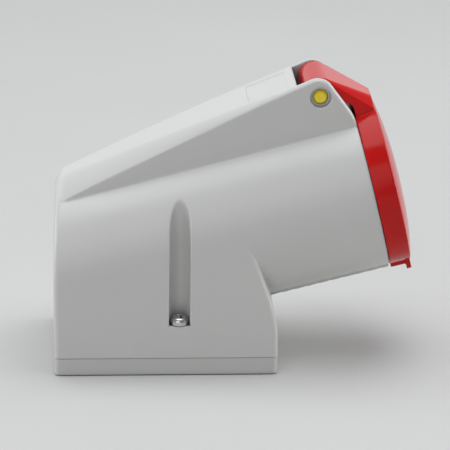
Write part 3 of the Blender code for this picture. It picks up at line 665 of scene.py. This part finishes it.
base = contour(
    "shell_base_plate", base_field,
    bands(-43.2, 43.2, 1.2, (-43.2, -38.4, 0.5), (38.4, 43.2, 0.5), (-1.2, 10.8, 0.5)),
    bands(-33.4, 33.4, 1.2, (-33.4, -22.0, 0.5), (22.0, 33.4, 0.5)),
    bands(-0.7, 7.3, 0.7, (-0.7, 0.8, 0.25), (5.9, 7.3, 0.25)),
)
finish_piece(base, BASE_GREY, "outlet", "base_plate")


# ================= housing screws =================
HEAD_R, SHANK_R, SHANK_Z = 3.72, 1.95, 3.0


def screw_field(x, y, z):
    """A domed cross-head screw on the z axis."""
    radius = np.hypot(x, y)
    crown = np.hypot(radius, z - SHELF_Z + 5.6) - 9.0
    head = meet(meet(radius - HEAD_R, crown, 1.2), SHELF_Z + 0.2 - z, 0.15)
    shank = all_of(chamfer(radius - SHANK_R, SHANK_Z - z, 0.85), z - SHELF_Z - 1.0)
    abs_x, abs_y = np.abs(x), np.abs(y)
    height = z - (SHELF_Z + 1.3)  # over the floor of the cross
    arm = 0.42 + height * 0.05
    reach = 1.55 + height * 0.45
    cross = np.minimum(
        np.maximum(abs_x - arm, abs_y - reach), np.maximum(abs_y - arm, abs_x - reach)
    )
    cross = join(cross, radius - (0.85 + height * 0.1), 0.25)
    return cut(np.minimum(head, shank), np.maximum(cross, -height), 0.08)


for tag, side, spin in (("near", -1, 18), ("far", 1, -31)):
    spun = Matrix.Rotation(math.radians(spin), 4, "Z")
    across = bands(-4.1, 4.1, 0.24, (-2.4, 2.4, 0.14))
    screw = contour(
        f"shell_screw_{tag}", screw_field, across, across,
        bands(2.6, 23.5, 1.2, (2.6, 4.2, 0.3), (19.4, 23.5, 0.2)),
        place=Matrix.Translation((SCREW_X, side * SCREW_Y, 0)) @ spun,
    )
    finish_piece(screw, STEEL, "outlet", f"housing_screw_{tag}")


# ================= insert with its socket holes =================
FLANGE_R, FLANGE_BACK, FLANGE_FACE = 28.5, 27.3, 38.0
CORE_R, CORE_FACE = 25.0, 76.0


def insert_field(out, y, lift):
    rad = np.hypot(y, lift)
    flange = meet(meet(rad - FLANGE_R, FLANGE_BACK - out, 0.2), out - FLANGE_FACE, 0.5)
    core = meet(np.maximum(rad - CORE_R, FLANGE_BACK - out), out - CORE_FACE, 1.0)
    body = join(flange, core, 0.6)
    body = cut(body, all_of(between(rad, 23.1, 23.9), 75.5 - out), 0.1)  # ring line on the face
    for pole, degrees in POLES:
        angle = math.radians(degrees)
        hole_rad = np.hypot(
            y - SOCKET_RING * math.sin(angle), lift - SOCKET_RING * math.cos(angle)
        )
        chamber, bore = (5.2, 3.85) if pole == "earth" else (4.2, 2.85)
        body = cut(body, all_of(hole_rad - bore - 1.5, 75.55 - out), 0.15)
        body = chamfer(body, -(hole_rad - bore), 0.7)
        body = np.maximum(body, -np.maximum(hole_rad - chamber, out - 72.0))
    return np.maximum(body, -np.maximum(carrier_radius(y, lift) - 1.25, out - 34.5))


insert = contour(
    "shell_insert", insert_field,
    bands(26.6, 76.8, 1.6, (36.8, 38.8, 0.4), (74.2, 76.8, 0.32), (71.4, 72.6, 0.4)),
    bands(-29.2, 29.2, 0.72), bands(-29.2, 29.2, 0.72), place=AXIS_FRAME,
)
finish_piece(insert, INSERT, "outlet", "contact_carrier")


# ================= lid =================
LID_R, LID_BACK, LID_CROWN = 32.1, 81.42, 92.7
KNUCKLE_R = 6.75
ARM_OUT, ARM_LIFT = 77.0, 45.67  # a point of the arm's top face
ARM_SIN, ARM_COS = 0.636, 0.771  # how that face slopes down outwards
ARM_END, ARM_THICK, ARM_HALF = 89.3, 5.2, 12.9


def lid_arm(out, abs_y, lift, rad, pin_rad):
    """The knuckle, the plate and the block that joins the rim."""
    over_top = (out - ARM_OUT) * ARM_SIN + (lift - ARM_LIFT) * ARM_COS
    past_pin = (out - PIN_OUT) * ARM_COS - (lift - PIN_LIFT) * ARM_SIN
    knuckle, past_end = pin_rad - KNUCKLE_R, out - ARM_END
    plate = all_of(over_top, -(over_top + ARM_THICK), -past_pin, past_end, 27.0 - lift)
    block = all_of(over_top, 81.7 - out, past_end, 27.0 - lift)
    body = join(np.minimum(knuckle, plate), block, 0.8)
    # the arm narrows towards the rim, and its long edges fall away more and more
    half = ARM_HALF - 0.28 * np.clip(out - 76.0, 0, 14)
    stations = [71, 77, ARM_END]
    fall = np.interp(out, stations, [0.15, 1.05, 3.5])
    fall = fall * roll_off(abs_y, half, np.interp(out, stations, [0.6, 2.4, 4.8]))
    over = np.where(past_pin > 0, over_top, knuckle)
    arm = np.maximum(body, meet(abs_y - half, over + fall, 0.25))
    return np.maximum(meet(arm, past_end, 0.3), 29.8 - rad)


def lid_field(out, y, lift):
    abs_y, rad = np.abs(y), np.hypot(y, lift)
    pin_rad = np.hypot(out - PIN_OUT, lift - PIN_LIFT)
    crown = LID_CROWN - 3.15 * np.power(np.minimum(rad, 36) / LID_R, 2.6)
    disc = meet(meet(rad - LID_R, LID_BACK - out, 0.25), (out - crown) * 0.975, 0.4)
    body = join(disc, lid_arm(out, abs_y, lift, rad, pin_rad), 0.2)
    # catch block and finger tab under the rim
    catch = meet(between(out, 81.75, 87.6), abs_y - 8.6, 0.4)
    catch = meet(catch, between(lift, -32.55, -30.4), 0.3)
    tab = meet(meet(abs_y - 9.2, -34.85 - lift, 1.3), between(out, 87.6, 89.42), 0.3)
    tab = np.maximum(tab, lift + 30.0)
    body = join(join(body, catch, 0.2), tab, 0.6)
    # the inside: gasket seat, then the dished roof
    body = cut(body, np.maximum(rad - 30.1, out - 84.64), 0.3)
    roof = 90.2 - 1.95 * np.power(np.minimum(rad, 30) / 26.6, 2.2)
    body = cut(body, meet(rad - 26.7, out - roof, 1.0), 0.3)
    # pin hole and the pocket for the spring
    body = np.maximum(body, PIN_HOLE_R - pin_rad)
    pin_x = (out - PIN_OUT) * COS - (lift - PIN_LIFT) * SIN
    pin_z = (out - PIN_OUT) * SIN + (lift - PIN_LIFT) * COS
    slot = all_of(abs_y - 5.9, pin_z + 2.9, between(pin_x, -9.0, 7.5))
    return cut(body, np.minimum(np.maximum(pin_rad - 5.5, abs_y - 6.0), slot), 0.2)


lid = contour(
    "shell_lid", lid_field,
    bands(62.8, 93.6, 0.85, (80.9, 83.2, 0.3), (86.8, 91.2, 0.4), (62.8, 80.9, 0.6)),
    bands(-33.9, 33.9, 0.85, (-14.2, -11.4, 0.4), (11.4, 14.2, 0.4), (-6.6, -5.4, 0.4),
          (5.4, 6.6, 0.4)),
    bands(-38.5, 50.6, 0.85, (-38.5, -31.5, 0.45), (28.5, 50.6, 0.55)), place=AXIS_FRAME,
)
finish_piece(lid, RED, "lid", "lid")

# ================= turned pieces: profiles are (along, radius, rounding) =================
GASKET = (
    (82.19, 27.0, 0), (81.84, 27.2, 0.2), (81.46, 27.8, 0.25), (81.9, 28.3, 0.25),
    (81.9, 28.7, 0.25), (81.46, 29.2, 0.3), (82.14, 29.8, 0.4), (84.34, 29.8, 0.3),
    (84.34, 27.0, 0.3), (82.19, 27.0, 0),
)
gasket = turned("seal_lid_ring", softened(GASKET, steps=4)[:-1], segments=160,
                place=AXIS_FRAME, sharp=50, ring=True)
finish_piece(gasket, RUBBER, "lid", "lid_gasket")

# half the pin, from its middle to one end
PIN_HALF = (
    (0, PIN_R, 0), (13.85, PIN_R, 0), (14.6, 1.98, 0.25), (14.6, 0.75, 0), (14.42, 0.45, 0),
    (14.38, 0, 0),
)
pin_half = softened(PIN_HALF, steps=4)[1:]
mirrored = [(-along, radius) for along, radius in reversed(pin_half)]
pin = turned("hinge_pin_yellow", mirrored + pin_half, segments=72, place=PIN_FRAME, sharp=40)
finish_piece(pin, YELLOW, "outlet", "hinge_pin")

# along is measured inwards from ENTRY_X
ENTRY_SEAL = (
    (0.15, 0, 0), (0.15, 2.0, 0), (0.35, 2.4, 0.1), (0.35, 5.6, 0.1), (0.15, 6.0, 0.1),
    (0.15, 6.6, 0.1), (0.35, 7.0, 0.1), (0.35, 10.2, 0.1), (0.1, 10.7, 0.15), (0.1, 13.8, 0.3),
    (0.6, 14.3, 0.3), (1.3, 14.3, 0.15), (1.3, 12.3, 0.1), (4.2, 12.3, 0.1), (4.2, 13.8, 0.2),
    (6.0, 12.8, 0.3), (6.0, 10.0, 0.3), (1.6, 9.0, 0.4), (1.6, 0, 0),
)
seal_profile = [(ENTRY_X + depth, radius, rounding) for depth, radius, rounding in ENTRY_SEAL]
seal = turned("seal_cable_entry", softened(seal_profile, steps=3), segments=96,
              place=Matrix.Translation((0, 0, ENTRY_Z)), sharp=38)
finish_piece(seal, RUBBER, "outlet", "cable_grommet")

# ================= CAD pieces that keep their shape =================
for piece_name, material in (
    *[(f"contact_{pole}", BRASS) for pole, _ in POLES],
    ("base_gasket", RUBBER), ("terminal_block", BLOCK), ("lid_spring", SPRING),
    ("carrier_screw_near", STEEL), ("carrier_screw_far", STEEL),
    *[(f"terminal_screw_{pole}", STEEL) for pole, _ in POLES],
):
    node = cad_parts[piece_name]
    if not node.material_slots:
        node.data.materials.append(material)
    for slot in node.material_slots:
        slot.material = material


# ================= floor, world, lights, camera: metres =================
def build_floor():
    mesh = bpy.data.meshes.new("studio_floor")
    corners = [(x, y, -0.0003) for x, y in ((-6, -6), (6, -6), (6, 8), (-6, 8))]
    mesh.from_pydata(corners, [], [(0, 1, 2, 3)])
    floor = add_object("studio_floor", mesh)
    m = Nodes("studio_floor_paint")
    patches = m.span(m.noise(scale=3, detail=3), source=(0.3, 0.7))
    m.feed(Base_Color=m.mix(patches, (0.56, 0.557, 0.55), (0.59, 0.586, 0.58)))
    m.inputs["Roughness"].default_value = 0.7
    m.inputs["Specular IOR Level"].default_value = 0.2
    mesh.materials.append(m.mat)


def build_world():
    """A pale studio: bright beyond and beside the object, dim behind the camera and overhead."""
    world = bpy.context.scene.world or bpy.data.worlds.new("studio")
    bpy.context.scene.world = world
    world.use_nodes = True
    tree = world.node_tree
    background = tree.nodes.get("Background")
    way = tree.nodes.new("ShaderNodeSeparateXYZ")
    tree.links.new(tree.nodes.new("ShaderNodeTexCoord").outputs["Generated"], way.inputs[0])
    both = tree.nodes.new("ShaderNodeMath")
    both.operation = "MULTIPLY"
    # direction along y, direction along z, then the product to the strength
    for value, source, target, socket in (
        (way.outputs[1], (-0.55, 0.05), (0.0, 1.0), both.inputs[0]),
        (way.outputs[2], (0.15, 0.75), (1.0, 0.25), both.inputs[1]),
        (both.outputs[0], (0.0, 1.0), (0.22, 0.95), background.inputs["Strength"]),
    ):
        tree.links.new(map_range(tree, value, source, target, "SMOOTHSTEP"), socket)
    background.inputs["Color"].default_value = (0.965, 0.985, 1.0, 1)


def area(name, at, aim, size, power, colour=(1, 1, 1)):
    lamp = bpy.data.lights.new(name, "AREA")
    lamp.shape = "SQUARE"
    lamp.size = size
    lamp.energy = power
    lamp.color = colour
    light = add_object(name, lamp)
    light.location = at
    light.rotation_mode = "QUATERNION"
    light.rotation_quaternion = (Vector(aim) - Vector(at)).to_track_quat("-Z", "Y")


def build_camera():
    data = bpy.data.cameras.new("camera")
    data.sensor_width = 36
    data.lens = 213.124
    data.clip_start, data.clip_end = 0.05, 30
    camera = add_object("camera", data)
    # below the horizon, from +y towards +x, round the line of sight
    pitch, yaw, roll = (math.radians(angle) for angle in (18.549, 3.307, 0.774))
    look = Vector((math.sin(yaw) * math.cos(pitch), math.cos(yaw) * math.cos(pitch),
                   -math.sin(pitch)))
    level = Vector((math.cos(yaw), -math.sin(yaw), 0))
    upright = level.cross(look)
    right = level * math.cos(roll) + upright * math.sin(roll)
    top = upright * math.cos(roll) - level * math.sin(roll)
    turn = Matrix((right, top, -look)).transposed().to_4x4()
    place = Matrix.Translation([c * MM for c in (-32.815, -972.528, 376.043)])
    camera.matrix_world = place @ turn
    bpy.context.scene.camera = camera


build_floor()
build_world()
area("key_overhead", at=(0.05, 0.05, 1.5), aim=(0.05, 0.05, 0.0), size=1.4, power=17.2,
     colour=(0.96, 0.98, 1.0))
area("side_right", at=(1.35, 0.12, 0.3), aim=(0.04, 0, 0.05), size=0.9, power=8.5)
area("side_left", at=(-1.35, 0.12, 0.3), aim=(-0.02, 0, 0.05), size=0.9, power=7)
area("fill_front", at=(-0.45, -1.4, 0.6), aim=(0.02, 0, 0.1), size=1.1, power=3.8)
build_camera()
bpy.context.scene.view_settings.view_transform = "Standard"
bpy.context.scene.view_settings.look = "None"
